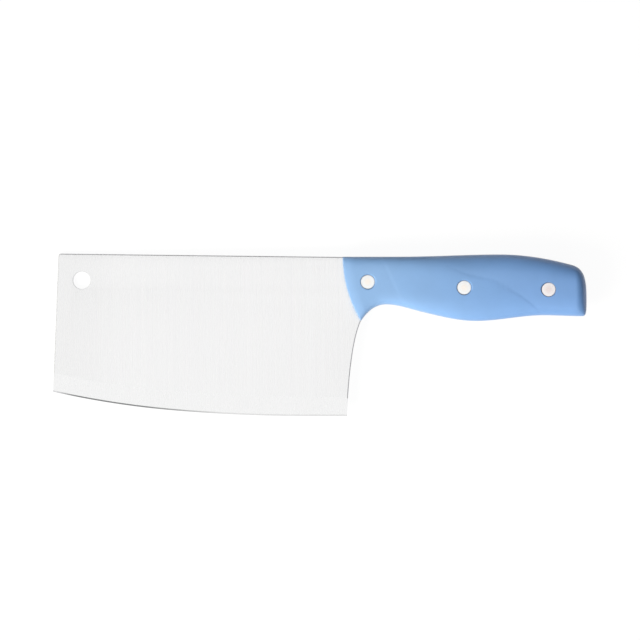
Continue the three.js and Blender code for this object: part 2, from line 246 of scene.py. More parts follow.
class KnifeColours(bpy.types.PropertyGroup):
    """Colours of the finishes."""

    steel: FloatVectorProperty(
        name="Satin steel",
        description="Sides of the blade",
        default=linear("#f5f5f5"),
        subtype="COLOR",
    )
    # Painted shade: the sides by the nose are painted a little darker, for the dimmer reflection there.
    nose_steel_painted_shade: FloatVectorProperty(
        name="Steel by the nose",
        description="Sides of the blade by the nose, a little duller",
        default=linear("#f2f2f2"),
        subtype="COLOR",
    )
    ground_steel: FloatVectorProperty(
        name="Ground steel",
        description="Bevel above the cutting edge",
        default=linear("#f5f5f5"),
        subtype="COLOR",
    )
    # Painted shade: the cutting bevel behind the toe is painted dark, for the dark it reflects.
    toe_edge_painted_shade: FloatVectorProperty(
        name="Polished edge",
        description="Cutting bevel behind the toe, polished by use",
        default=linear("#8a8b8c"),
        subtype="COLOR",
    )
    # Painted shade: the cutting bevel at the heel is painted light grey, for the shade it reflects.
    heel_edge_painted_shade: FloatVectorProperty(
        name="Honed edge",
        description="Cutting bevel at the heel, as it was honed",
        default=linear("#e4e4e4"),
        subtype="COLOR",
    )
    tumbled_steel: FloatVectorProperty(
        name="Tumbled steel",
        description="Spine, nose, heel and tang, blanked and then tumbled",
        default=linear("#dbdbdd"),
        subtype="COLOR",
    )
    # Painted light: the front of the scales is painted paler, as if lit more strongly there.
    plastic_front_painted_light: FloatVectorProperty(
        name="Plastic at the front",
        description="Moulded scales by the mould's gate, where the colour is paler",
        default=linear("#89b3e4"),
        subtype="COLOR",
    )
    plastic_rear: FloatVectorProperty(
        name="Plastic at the rear",
        description="Moulded scales by the butt",
        default=linear("#7aa9e7"),
        subtype="COLOR",
    )
    rivet: FloatVectorProperty(
        name="Rivet aluminium",
        description="Turned rivet heads",
        default=linear("#f9fafa"),
        subtype="COLOR",
    )
    rivet_middle: FloatVectorProperty(
        name="Rivet middle",
        description="Warmer middle of the heads, where the riveting die pressed",
        default=linear("#fdf7ef"),
        subtype="COLOR",
    )
    # The head by the butt is a little darker and pinker than the others, its middle the most.
    rear_rivet: FloatVectorProperty(
        name="Rear rivet",
        description="Head by the butt, dulled by handling",
        default=linear("#f6f1f0"),
        subtype="COLOR",
    )
    rear_rivet_middle: FloatVectorProperty(
        name="Rear rivet middle",
        description="Middle of the head by the butt, the dullest",
        default=linear("#f0e5e2"),
        subtype="COLOR",
    )
    floor: FloatVectorProperty(
        name="Table",
        description="Surface that the knife lies on",
        default=linear("#f2f2f2"),
        subtype="COLOR",
    )


class KnifeStage(bpy.types.PropertyGroup):
    """The camera, the light and the table."""

    camera_height: FloatProperty(
        name="Camera height",
        description="Above the side of the blade",
        default=1.2,
        unit="LENGTH",
    )
    view_width: FloatProperty(
        name="View width",
        description="Width of the picture at the side of the blade",
        default=0.3602,
        unit="LENGTH",
    )
    view_centre: FloatVectorProperty(
        name="View centre",
        description="Middle of the picture, from the knife's zero point",
        default=(-12.85 * MM, -35.57 * MM),
        size=2,
        unit="LENGTH",
    )
    flag_cloth: FloatVectorProperty(
        name="Flag cloth",
        description="Cloth that keeps light off the spine and the butt",
        default=linear("#141416"),
        subtype="COLOR",
    )
    flag_sheen: FloatVectorProperty(
        name="Flag sheen",
        description="The same cloth as glossy surfaces mirror it",
        default=linear("#848488"),
        subtype="COLOR",
    )
    card: FloatVectorProperty(
        name="Card",
        description="Pale card that gives the steel its tone from the sides",
        default=linear("#f4f4f4"),
        subtype="COLOR",
    )
    room_light: FloatProperty(
        name="Room light",
        description="Strength of the even room as glossy surfaces mirror it",
        default=1.0,
    )
    fill_light: FloatProperty(
        name="Fill light",
        description="Strength of the even room as it lights matt surfaces",
        default=0.91,
    )
    key_power: FloatProperty(
        name="Key light",
        description="Power of the soft lamp ahead of the nose",
        default=8.2,
        unit="POWER",
    )
    key_tint: FloatVectorProperty(
        name="Key tint",
        description="Colour of the soft lamp",
        default=linear("#fff8ea"),
        subtype="COLOR",
    )
    fill_tint: FloatVectorProperty(
        name="Fill tint",
        description="Colour of the room's light on matt surfaces",
        default=linear("#f7fbff"),
        subtype="COLOR",
    )
    key_place: FloatVectorProperty(
        name="Key place",
        description="Where the soft lamp hangs",
        default=(-0.5, -0.44, 0.55),
        subtype="TRANSLATION",
        unit="LENGTH",
    )
    key_size: FloatProperty(
        name="Key size",
        description="Width of the soft lamp",
        default=0.35,
        unit="LENGTH",
    )


# Outline and crown of the scales


def line_through(stops, x):
    """Level at x, and slope there, of the smooth line through stops."""
    table = np.array(stops, float)
    index = np.clip(np.searchsorted(table[:, 0], x, side="right") - 1, 0, len(table) - 2)
    a = table[index]
    b = table[index + 1]
    span = b[..., 0] - a[..., 0]
    t = (x - a[..., 0]) / span
    rise = b[..., 1] - a[..., 1]
    bend = a[..., 2] * (1 - t) - b[..., 2] * t
    level = a[..., 1] + rise * t * t * (3 - 2 * t) + span * t * (1 - t) * bend
    fall = 6 * rise * t * (1 - t) / span + (1 - 2 * t) * bend - t * (1 - t) * (a[..., 2] + b[..., 2])
    return level, fall


def corner(run, power):
    """What is left of a height of 1 after a rounded corner has run from 0 to 1."""
    return (1 - np.clip(run, 0, 1) ** power) ** (1 / power)


def smooth_step(t):
    """Eases from 0 to 1 as t does."""
    t = np.clip(t, 0, 1)
    return t * t * (3 - 2 * t)


def top_line(x):
    """The scales' line along the spine, down to the middle of the butt."""
    reach, level, slope = TOP_STOPS[-1]
    setback = HANDLE_LENGTH - reach
    past = np.maximum(x - reach, 0)
    fall = level - BUTT_LEVEL + slope * setback
    rounded = level + slope * past - fall * (1 - corner(past / setback, CORNER_POWER))
    return np.where(x <= reach, line_through(TOP_STOPS, x)[0], rounded)


def underside(x):
    """The scales' line along the fingers, up to the middle of the butt."""
    reach, level, slope = UNDERSIDE_STOPS[0]
    foot, foot_level, _ = UNDERSIDE_STOPS[-1]
    ahead = level + slope * (x - reach)
    rise = BUTT_LEVEL - foot_level
    rounded = foot_level + rise * (1 - corner((x - foot) / (HANDLE_LENGTH - foot), CORNER_POWER))
    body = line_through(UNDERSIDE_STOPS, x)[0]
    return np.where(x < reach, ahead, np.where(x <= foot, body, rounded))


def front_arc(y):
    """The scales' front edge, an arc that leaves the top line square to it."""
    reach, level, _ = UNDERSIDE_STOPS[0]
    radius = (reach**2 + level**2) / (2 * reach)
    return radius - np.sqrt(radius**2 - y**2)


def scale_height(x, y):
    """Height of a scale's face above its seat, without the creases."""
    top = top_line(x)
    under = underside(x)
    half = np.maximum((top - under) / 2, TINY)
    across = corner(np.abs(y - (top + under) / 2) / half, line_through(EDGE_POWER_STOPS, x)[0])
    along = corner((x - HANDLE_LENGTH + BUTT_ROUNDING) / BUTT_ROUNDING, BUTT_EDGE_POWER)
    lead = np.clip((x - front_arc(y)) / FRONT_ROUNDING, 0, 1)
    eased = FRONT_ROUNDING * (1 - np.sqrt(1 - (1 - lead) ** 2))
    return (line_through(THICKNESS_STOPS, x)[0] - eased) * across * along


def crease_distances(x, y):
    """How far a point lies inside the palm pad from its front and its rear crease."""
    front_level, front_slope = line_through(FRONT_CREASE_STOPS, x)
    rear_level, rear_slope = line_through(REAR_CREASE_STOPS, x)
    front = (y - front_level) / np.sqrt(1 + front_slope**2)
    rear = (rear_level - y) / np.sqrt(1 + rear_slope**2)
    return front, rear


def crease_drop(inside, width):
    """Share of the crease's depth at a distance inside the pad: a step, then a slow return."""
    step = 1 - smooth_step(inside / width + 1)
    fading = np.exp(np.minimum(inside + width, 0) / CREASE_RETURN)
    return step * (CREASE_KEEP + (1 - CREASE_KEEP) * fading)


def side_points(place, across):
    """Points of a scale's side view, from the place of a section and the share of the way across it."""
    chin, chin_level, _ = UNDERSIDE_STOPS[0]
    cosine = np.cos(math.pi * across)
    power = line_through(EDGE_POWER_STOPS, place)[0]
    drop = (1 - np.sign(cosine) * np.abs(cosine) ** (2 / power)) / 2
    under_x = chin + (HANDLE_LENGTH - chin) * place / HANDLE_LENGTH
    x = place + (under_x - place) * drop
    y = top_line(place) + (underside(under_x) - top_line(place)) * drop
    bow = front_arc(chin_level * drop) - chin * drop
    return x + bow * (1 - place / HANDLE_LENGTH) ** 2, y


# Meshes


def new_object(bm, name, materials=()):
    """Puts a bmesh into the scene as an object, and frees it."""
    mesh = bpy.data.meshes.new(name)
    bm.to_mesh(mesh)
    bm.free()
    for material in materials:
        mesh.materials.append(material)
    made = bpy.data.objects.new(name, mesh)
    bpy.context.scene.collection.objects.link(made)
    return made


def finish_piece(bm, name, materials, node):
    """Makes the piece that stands for a node, and lets it ride on the knife."""
    piece = new_object(bm, name, materials)
    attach(piece, BODY)
    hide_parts(node)
    return piece


def shade(bm, sharp_turn):
    """Smooth faces, with a sharp edge wherever two of them turn by more than an angle in degrees."""
    for face in bm.faces:
        face.smooth = True
    for edge in bm.edges:
        edge.smooth = edge.calc_face_angle(math.pi) < math.radians(sharp_turn)


def turned(profile, centre):
    """A bmesh of a closed profile of radius and height, turned about an upright axis."""
    bm = bmesh.new()
    verts = [bm.verts.new((radius, 0, height)) for radius, height in profile]
    edges = [bm.edges.new(pair) for pair in zip(verts, verts[1:])]
    bmesh.ops.spin(
        bm,
        geom=verts + edges,
        cent=(0, 0, 0),
        axis=(0, 0, 1),
        angle=2 * math.pi,
        steps=ROUND_STEPS,
        use_merge=True,
    )
    bmesh.ops.remove_doubles(bm, verts=bm.verts, dist=WELD)
    bmesh.ops.recalc_face_normals(bm, faces=bm.faces)
    bmesh.ops.translate(bm, verts=bm.verts, vec=centre)
    return bm


def turn_over(bm):
    """Mirrors a mesh through the middle of the steel."""
    bmesh.ops.scale(bm, vec=(1, 1, -1), space=Matrix.Translation(-ZERO), verts=bm.verts)
    bmesh.ops.reverse_faces(bm, faces=bm.faces)


def rivet_place(name):
    """A rivet's axis at half thickness, and the height of its crest above that."""
    low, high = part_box(f"{name}_rivet_post")
    centre = Vector(((low.x + high.x) / 2, (low.y + high.y) / 2, ZERO.z))
    return centre, high.z - ZERO.z


# Materials


def add_node(tree, kind, settings=None, inputs=None):
    """Adds a node, sets its properties, and fills or links its sockets."""
    node = tree.nodes.new(kind)
    for name, value in (settings or {}).items():
        setattr(node, name, value)
    for name, value in (inputs or {}).items():
        if isinstance(value, bpy.types.NodeSocket):
            tree.links.new(value, node.inputs[name])
        else:
            node.inputs[name].default_value = value
    return node


def new_material(name):
    """An empty node material with its output."""
    material = bpy.data.materials.new(name)
    material.use_nodes = True
    material.node_tree.nodes.clear()
    output = add_node(material.node_tree, "ShaderNodeOutputMaterial")
    return material, material.node_tree, output


def rgba(colour, level=1.0):
    """A colour for a node, with its level turned down where one is given."""
    return (colour[0] * level, colour[1] * level, colour[2] * level, 1.0)


def streaks(tree, spacing, length):
    """Noise drawn out from spine to edge, with its spacing and length in millimetres."""
    place = add_node(tree, "ShaderNodeTexCoord")
    stretch = add_node(
        tree,
        "ShaderNodeMapping",
        inputs={
            "Vector": place.outputs["Object"],
            "Scale": (1 / (spacing * MM), 1 / (length * MM), 1 / (spacing * MM)),
        },
    )
    return add_node(
        tree,
        "ShaderNodeTexNoise",
        inputs={"Vector": stretch.outputs["Vector"], "Scale": 1.0, "Detail": 2.0, "Roughness": 0.6},
    )


def brushed_steel(name, tones, spacing, length, contrast, roughness, relief):
    """Stainless steel with belt lines: fine bright and dark hairs from spine to edge, and broad soft bands.

    Tones are its colours from the toe to the heel, at the places of the honed edge. Real hairs are finer
    than 0.1 mm: they are drawn as coarse as their spacing says, so that they show.
    """
    band_spacing = 9 * spacing
    band_length = 3 * length
    band_share = 0.35
    gloss_swing = 0.05
    brushing = 0.35
    material, tree, output = new_material(name)
    place = add_node(tree, "ShaderNodeTexCoord")
    axes = add_node(tree, "ShaderNodeSeparateXYZ", inputs={"Vector": place.outputs["Object"]})
    toe = HONED_PLACES[0]
    run = HONED_PLACES[-1] - toe
    along = add_node(
        tree,
        "ShaderNodeMapRange",
        inputs={"Value": axes.outputs["X"], "From Min": toe * MM, "From Max": (toe + run) * MM},
    )
    colour = add_node(tree, "ShaderNodeValToRGB", inputs={"Fac": along.outputs["Result"]})
    colour.color_ramp.interpolation = "EASE"
    stops = colour.color_ramp.elements
    stops.remove(stops[1])
    stops[0].color = rgba(tones[0])
    for spot, tone in zip(HONED_PLACES[1:], tones[1:]):
        stops.new((spot - toe) / run).color = rgba(tone)
    hairs = streaks(tree, spacing, length)
    bands = streaks(tree, band_spacing, band_length)
    mixed = add_node(
        tree,
        "ShaderNodeMix",
        {"data_type": "FLOAT"},
        {"Factor": band_share, "A": hairs.outputs["Fac"], "B": bands.outputs["Fac"]},
    )
    level = add_node(
        tree,
        "ShaderNodeMapRange",
        inputs={
            "Value": mixed.outputs["Result"],
            "From Min": 0.3,
            "From Max": 0.7,
            "To Min": 1 - contrast,
            "To Max": 1 + contrast,
        },
    )
    tone = add_node(
        tree,
        "ShaderNodeVectorMath",
        {"operation": "SCALE"},
        {0: colour.outputs["Color"], "Scale": level.outputs["Result"]},
    )
    gloss = add_node(
        tree,
        "ShaderNodeMapRange",
        inputs={
            "Value": hairs.outputs["Fac"],
            "From Min": 0.25,
            "From Max": 0.75,
            "To Min": roughness - gloss_swing,
            "To Max": roughness + gloss_swing,
        },
    )
    lines = add_node(
        tree,
        "ShaderNodeBump",
        inputs={"Height": hairs.outputs["Fac"], "Strength": 0.5, "Distance": relief * MM},
    )
    tangent = add_node(tree, "ShaderNodeTangent", {"direction_type": "UV_MAP", "uv_map": "side"})
    shader = add_node(
        tree,
        "ShaderNodeBsdfPrincipled",
        inputs={
            "Base Color": tone.outputs["Vector"],
            "Metallic": 1.0,
            "Roughness": gloss.outputs["Result"],
            "Anisotropic": brushing,
            "Tangent": tangent.outputs["Tangent"],
            "Normal": lines.outputs["Normal"],
        },
    )
    tree.links.new(shader.outputs["BSDF"], output.inputs["Surface"])
    return material


def moulded_plastic(front, rear):
    """Polypropylene from a fine spark-eroded mould: blue with a strong soft sheen; its blue is painted
    paler towards the front, as painted light.

    Its palm pad is duller. The mould's grain is drawn coarser than it is, so that it shows.
    """
    flow_size = 14 * MM
    flow_swing = 0.03
    grain_size = 0.45 * MM
    grain_relief = 0.06 * MM
    plain_roughness, pad_roughness = 0.34, 0.46
    plain_grain, pad_grain = 0.05, 0.22
    material, tree, output = new_material("moulded_polypropylene")
    place = add_node(tree, "ShaderNodeTexCoord")
    axes = add_node(tree, "ShaderNodeSeparateXYZ", inputs={"Vector": place.outputs["Object"]})
    # Painted light: the blue eases from the paler front colour to the rear one along the handle.
    along = add_node(
        tree,
        "ShaderNodeMapRange",
        {"interpolation_type": "SMOOTHSTEP"},
        {
            "Value": axes.outputs["X"],
            "From Min": ZERO.x,
            "From Max": ZERO.x + HANDLE_LENGTH * MM,
        },
    )
    colour = add_node(
        tree,
        "ShaderNodeMix",
        {"data_type": "RGBA"},
        {"Factor": along.outputs["Result"], "A": rgba(front), "B": rgba(rear)},
    )
    pad = add_node(tree, "ShaderNodeAttribute", {"attribute_name": "palm_pad"})
    flow = add_node(
        tree,
        "ShaderNodeTexNoise",
        inputs={"Vector": place.outputs["Object"], "Scale": 1 / flow_size, "Detail": 3.0},
    )
    grain = add_node(
        tree,
        "ShaderNodeTexNoise",
        inputs={"Vector": place.outputs["Object"], "Scale": 1 / grain_size, "Detail": 2.0},
    )
    level = add_node(
        tree,
        "ShaderNodeMapRange",
        inputs={
            "Value": flow.outputs["Fac"],
            "From Min": 0.3,
            "From Max": 0.7,
            "To Min": 1 - flow_swing,
            "To Max": 1 + flow_swing,
        },
    )
    tone = add_node(
        tree,
        "ShaderNodeVectorMath",
        {"operation": "SCALE"},
        {0: colour.outputs["Result"], "Scale": level.outputs["Result"]},
    )
    gloss = add_node(
        tree,
        "ShaderNodeMapRange",
        inputs={"Value": pad.outputs["Fac"], "To Min": plain_roughness, "To Max": pad_roughness},
    )
    pebble = add_node(
        tree,
        "ShaderNodeMapRange",
        inputs={"Value": pad.outputs["Fac"], "To Min": plain_grain, "To Max": pad_grain},
    )
    skin = add_node(
        tree,
        "ShaderNodeBump",
        inputs={
            "Height": grain.outputs["Fac"],
            "Strength": pebble.outputs["Result"],
            "Distance": grain_relief,
        },
    )
    shader = add_node(
        tree,
        "ShaderNodeBsdfPrincipled",
        inputs={
            "Base Color": tone.outputs["Vector"],
            "Roughness": gloss.outputs["Result"],
            "IOR": 1.49,
            "Specular IOR Level": 1.0,
            "Normal": skin.outputs["Normal"],
        },
    )
    tree.links.new(shader.outputs["BSDF"], output.inputs["Surface"])
    return material


def turned_aluminium(name, colour, middle, radius):
    """Bright aluminium with a turning tool's rings, each a little duller or brighter, and a warmer middle.

    Real rings are finer: they are drawn about half a millimetre apart, so that they show.
    """
    middle_end, face_start = 0.2 * radius, 0.8 * radius
    ring_relief = 0.01 * MM
    material, tree, output = new_material(name)
    face = add_node(tree, "ShaderNodeUVMap", {"uv_map": "turning"})
    out = add_node(tree, "ShaderNodeVectorMath", {"operation": "LENGTH"}, {0: face.outputs["UV"]})
    spread = add_node(
        tree,
        "ShaderNodeMapRange",
        {"interpolation_type": "SMOOTHSTEP"},
        {"Value": out.outputs["Value"], "From Min": middle_end, "From Max": face_start},
    )
    tone = add_node(
        tree,
        "ShaderNodeMix",
        {"data_type": "RGBA"},
        {"Factor": spread.outputs["Result"], "A": rgba(middle), "B": rgba(colour)},
    )
    rings = add_node(
        tree,
        "ShaderNodeTexWave",
        {"wave_type": "RINGS", "rings_direction": "SPHERICAL"},
        {"Vector": face.outputs["UV"], "Scale": 0.6, "Distortion": 1.5, "Detail": 2.0},
    )
    gloss = add_node(
        tree,
        "ShaderNodeMapRange",
        inputs={"Value": rings.outputs["Fac"], "To Min": 0.2, "To Max": 0.3},
    )
    grooves = add_node(
        tree,
        "ShaderNodeBump",
        inputs={"Height": rings.outputs["Fac"], "Strength": 0.3, "Distance": ring_relief},
    )
    shader = add_node(
        tree,
        "ShaderNodeBsdfPrincipled",
        inputs={
            "Base Color": tone.outputs["Result"],
            "Metallic": 1.0,
            "Roughness": gloss.outputs["Result"],
            "Normal": grooves.outputs["Normal"],
        },
    )
    tree.links.new(shader.outputs["BSDF"], output.inputs["Surface"])
    return material


def table_paint(colour):
    """Matt white table: white to the eye and in reflections, with the knife's own soft shadow kept."""
    bounce = 0.22
    shadow_depth = 0.09
    whiteness = 0.95
    material, tree, output = new_material("matt_white_table")
    plain = add_node(tree, "ShaderNodeBsdfDiffuse", inputs={"Color": rgba(colour, bounce)})
    kept_shadow = add_node(tree, "ShaderNodeBsdfDiffuse", inputs={"Color": rgba(colour, shadow_depth)})
    white = add_node(tree, "ShaderNodeEmission", inputs={"Color": (1, 1, 1, 1), "Strength": whiteness})
    seen = add_node(tree, "ShaderNodeAddShader")
    tree.links.new(kept_shadow.outputs["BSDF"], seen.inputs[0])
    tree.links.new(white.outputs["Emission"], seen.inputs[1])
    path = add_node(tree, "ShaderNodeLightPath")
    eye = add_node(
        tree,
        "ShaderNodeMath",
        {"operation": "MAXIMUM"},
        {0: path.outputs["Is Camera Ray"], 1: path.outputs["Is Glossy Ray"]},
    )
    shown = add_node(
        tree,
        "ShaderNodeMath",
        {"operation": "MAXIMUM"},
        {0: eye.outputs["Value"], 1: path.outputs["Is Transmission Ray"]},
    )
    mix = add_node(
        tree,
        "ShaderNodeMixShader",
        inputs={0: shown.outputs["Value"], 1: plain.outputs["BSDF"], 2: seen.outputs["Shader"]},
    )
    tree.links.new(mix.outputs["Shader"], output.inputs["Surface"])
    return material


def studio_cloth(name, colour, mirrored):
    """Matt cloth or card on a stand: a dark one darkens rounded edges, a pale one is mirrored in steel."""
    material, tree, output = new_material(name)
    path = add_node(tree, "ShaderNodeLightPath")
    shown = add_node(
        tree,
        "ShaderNodeMix",
        {"data_type": "RGBA"},
        {"Factor": path.outputs["Is Glossy Ray"], "A": rgba(colour), "B": rgba(mirrored)},
    )
    shader = add_node(tree, "ShaderNodeBsdfDiffuse", inputs={"Color": shown.outputs["Result"]})
    tree.links.new(shader.outputs["BSDF"], output.inputs["Surface"])
    return material


class KNIFE_OT_blade(bpy.types.Operator):
    """Dresses the ground blade and its tang"""

    bl_idname = "knife.blade"
    bl_label = "Blade"

    def execute(self, context):
        sizes = context.scene.knife_sizes
        colours = context.scene.knife_colours
        bm = bmesh.new()
        bm.from_mesh(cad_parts["blade"].data)
        for layer in list(bm.loops.layers.uv):
            bm.loops.layers.uv.remove(layer)
        bmesh.ops.remove_doubles(bm, verts=bm.verts, dist=2 * TINY)
        bmesh.ops.dissolve_limit(
            bm,
            angle_limit=math.radians(FLAT_TURN),
            verts=bm.verts,
            edges=bm.edges,
            delimit=set(),
        )
        for face in bm.faces:
            face.material_index = self.finish_of(face)
        rivet_centres = [rivet_place(name)[0] for name in RIVETS]
        arrises = [e for e in bm.edges if self.is_arris(e, rivet_centres)]
        rims = [e for e in arrises if self.is_rim(e)]
        outline = [e for e in arrises if not self.is_rim(e)]
        for edges, radius in ((outline, sizes.arris_radius), (rims, sizes.hole_lip)):
            rounded = bmesh.ops.bevel(
                bm,
                geom=edges,
                offset=radius,
                offset_type="OFFSET",
                affect="EDGES",
                segments=4,
                profile=0.5,
                material=-1,
                clamp_overlap=False,
            )
            for face in rounded["faces"]:
                face.material_index = self.edge_finish(face)
        shade(bm, BLADE_SHARP)
        for edge in bm.edges:
            meeting = {face.material_index for face in edge.link_faces}
            if len(meeting) > 1 and meeting & {GROUND, HONED}:
                edge.smooth = False
        side = bm.loops.layers.uv.new("side")
        for face in bm.faces:
            for loop in face.loops:
                loop[side].uv = loop.vert.co.xy / MM
        # Painted shade: the satin sides darken towards the nose.
        satin = (colours.nose_steel_painted_shade, colours.nose_steel_painted_shade, colours.steel)
        # Painted shade: the cutting bevel is painted dark behind the toe and grey at the heel.
        edge_shade_tone = colours.toe_edge_painted_shade
        honed = (colours.tumbled_steel, edge_shade_tone, edge_shade_tone, colours.heel_edge_painted_shade)
        finishes = [
            brushed_steel(
                "satin_stainless",
                satin,
                spacing=0.8,
                length=90,
                contrast=0.013,
                roughness=0.27,
                relief=0.004,
            ),
            brushed_steel(
                "ground_stainless",
                [colours.ground_steel],
                spacing=1.1,
                length=22,
                contrast=0.018,
                roughness=0.27,
                relief=0.005,
            ),
            brushed_steel(
                "honed_stainless",
                honed,
                spacing=0.5,
                length=3,
                contrast=0.05,
                roughness=0.3,
                relief=0.01,
            ),
            brushed_steel(
                "tumbled_stainless",
                [colours.tumbled_steel],
                spacing=0.7,
                length=0.7,
                contrast=0.05,
                roughness=0.32,
                relief=0.01,
            ),
        ]
        finish_piece(bm, "knife_blade", finishes, "blade")
        return {"FINISHED"}

    def is_arris(self, edge, rivet_centres):
        """Whether an edge is a square corner on a side of the sheet, away from the covered rivet holes."""
        close = 0.01 * MM
        covered = 4 * MM
        if edge.calc_face_angle(0) < math.radians(ARRIS_TURN):
            return False
        for vert in edge.verts:
            if abs(abs(vert.co.z - ZERO.z) - HALF_STEEL) > close:
                return False
        middle = (edge.verts[0].co + edge.verts[1].co) / 2
        return all((middle - c).xy.length > covered for c in rivet_centres)

    def is_rim(self, edge):
        """Whether an edge runs round the hang hole."""
        reach = 1.1 * HANG_HOLE_RADIUS * MM
        middle = (edge.verts[0].co + edge.verts[1].co) / 2
        return (middle.xy - Vector(HANG_HOLE) * MM).length < reach

    def finish_of(self, face):
        """The finish of a face by its lean: sides, ground bevel, cutting bevel or blanked edge."""
        lean = math.degrees(math.acos(min(1, abs(face.normal.z))))
        if lean < SATIN_LEAN:
            return SATIN
        if lean > HONED_LEAN:
            return self.edge_finish(face)
        return GROUND if lean < GROUND_LEAN else HONED

    def edge_finish(self, face):
        """The finish of a blanked edge: tumbled, or as bright as the sides where it faces ahead."""
        ahead = -0.7
        return SATIN if face.normal.xy.normalized().x < ahead else TUMBLED


class KNIFE_OT_scales(bpy.types.Operator):
    """Moulds the two scales"""

    bl_idname = "knife.scales"
    bl_label = "Scales"

    def execute(self, context):
        sizes = context.scene.knife_sizes
        colours = context.scene.knife_colours
        plastic = moulded_plastic(colours.plastic_front_painted_light, colours.plastic_rear)
        for name, side in (("left_scale", 1), ("right_scale", -1)):
            bm = self.moulding(sizes)
            if side < 0:
                turn_over(bm)
            piece = finish_piece(bm, f"knife_{name}", [plastic], name)
            self.drill(piece, side, sizes)
        return {"FINISHED"}

    def moulding(self, sizes):
        """A scale before drilling: a crowned face over a flat seat."""
        places = self.section_places()
        along_steps = len(places) - 1
        bm = bmesh.new()
        pad_layer = bm.verts.layers.float.new("palm_pad")
        bmesh.ops.create_grid(bm, x_segments=along_steps, y_segments=ACROSS_STEPS, size=0.5)
        bm.verts.ensure_lookup_table()
        grid = np.array([v.co for v in bm.verts])
        station = np.rint((grid[:, 0] + 0.5) * along_steps).astype(int)
        across = 0.5 - grid[:, 1]
        x, y = side_points(places[station], across)
        height = scale_height(x, y)
        rim = (across < TINY) | (across > 1 - TINY) | (station == along_steps)
        front, rear = crease_distances(x, y)
        width = sizes.crease_width / MM
        front_fade = 1 - smooth_step((x - FRONT_FADE[0]) / FRONT_FADE[1])
        rear_fade = smooth_step((x - REAR_FADE[0]) / REAR_FADE[1])
        crown = smooth_step(height / CROWN_RISE)
        drop = sizes.front_crease / MM * crown * front_fade * crease_drop(front, width * FRONT_SOFTNESS)
        drop += sizes.rear_crease / MM * crown * rear_fade * crease_drop(rear, width)
        lead = np.clip(1 - (x - front_arc(y)) * MM / sizes.lead_run, 0, 1)
        drop += sizes.lead_depth / MM * crown * lead**2
        height = np.where(rim, 0, height - drop)
        pad = smooth_step(front / PAD_RUN + 0.5) * smooth_step(rear / PAD_RUN + 0.5) * crown
        for vert, vx, vy, vz, share in zip(bm.verts, x, y, height, pad):
            vert.co = ZERO + Vector((vx * MM, vy * MM, vz * MM + HALF_STEEL))
            vert[pad_layer] = share
        seat_level = ZERO.z + HALF_STEEL
        rims = [e for e in bm.edges if e.is_boundary]
        lip = [e for e in rims if max(v.co.z for v in e.verts) > seat_level + TINY]
        wall = bmesh.ops.extrude_edge_only(bm, edges=lip)["geom"]
        for vert in (g for g in wall if isinstance(g, bmesh.types.BMVert)):
            vert.co.z = seat_level
        bmesh.ops.remove_doubles(bm, verts=bm.verts, dist=WELD)
        bmesh.ops.dissolve_degenerate(bm, edges=bm.edges, dist=WELD / 10)
        bmesh.ops.holes_fill(bm, edges=[e for e in bm.edges if e.is_boundary], sides=0)
        bmesh.ops.recalc_face_normals(bm, faces=bm.faces)
        return bm

    def section_places(self):
        """Places of the sections, closer together at the rounded ends."""
        reach = TOP_STOPS[-1][0]
        front = FRONT_ROUNDING * (1 - np.cos(np.linspace(0, math.pi / 2, FRONT_STEPS)))
        body = np.linspace(FRONT_ROUNDING, reach, BODY_STEPS)
        butt = reach + (HANDLE_LENGTH - reach) * np.sin(np.linspace(0, math.pi / 2, BUTT_STEPS))
        return np.concatenate([front[:-1], body[:-1], butt])

    def drill(self, piece, side, sizes):
        """Cuts the stepped rivet holes, with a soft lip at the mouth of each."""
        for name in RIVETS:
            centre, crest = rivet_place(name)
            low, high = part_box(f"{name}_rivet_post")
            head = (high.x - low.x) / 2 + sizes.rivet_gap
            seat = crest - HEAD_DEPTH * MM
            shank = SHANK_HOLE * MM
            mouth = crest + sizes.rivet_recess
            top = mouth + OVERSHOOT * MM
            profile = [(0, 0), (shank, 0), (shank, seat), (head, seat)]
            profile += [(head + out * MM, mouth + up * MM) for out, up in MOUTH_LIP]
            profile += [(profile[-1][0], top), (0, top)]
            bm = turned(profile, centre)
            if side < 0:
                turn_over(bm)
            drill = new_object(bm, "drill")
            mesh = drill.data
            cut = piece.modifiers.new("rivet_hole", "BOOLEAN")
            cut.operation = "DIFFERENCE"
            cut.solver = "EXACT"
            cut.object = drill
            view = bpy.context.evaluated_depsgraph_get()
            drilled = bpy.data.meshes.new_from_object(piece.evaluated_get(view))
            piece.modifiers.clear()
            piece.data = drilled
            bpy.data.objects.remove(drill)
            bpy.data.meshes.remove(mesh)
        bm = bmesh.new()
        bm.from_mesh(piece.data)
        shade(bm, SCALE_SHARP)
        bm.to_mesh(piece.data)
        bm.free()


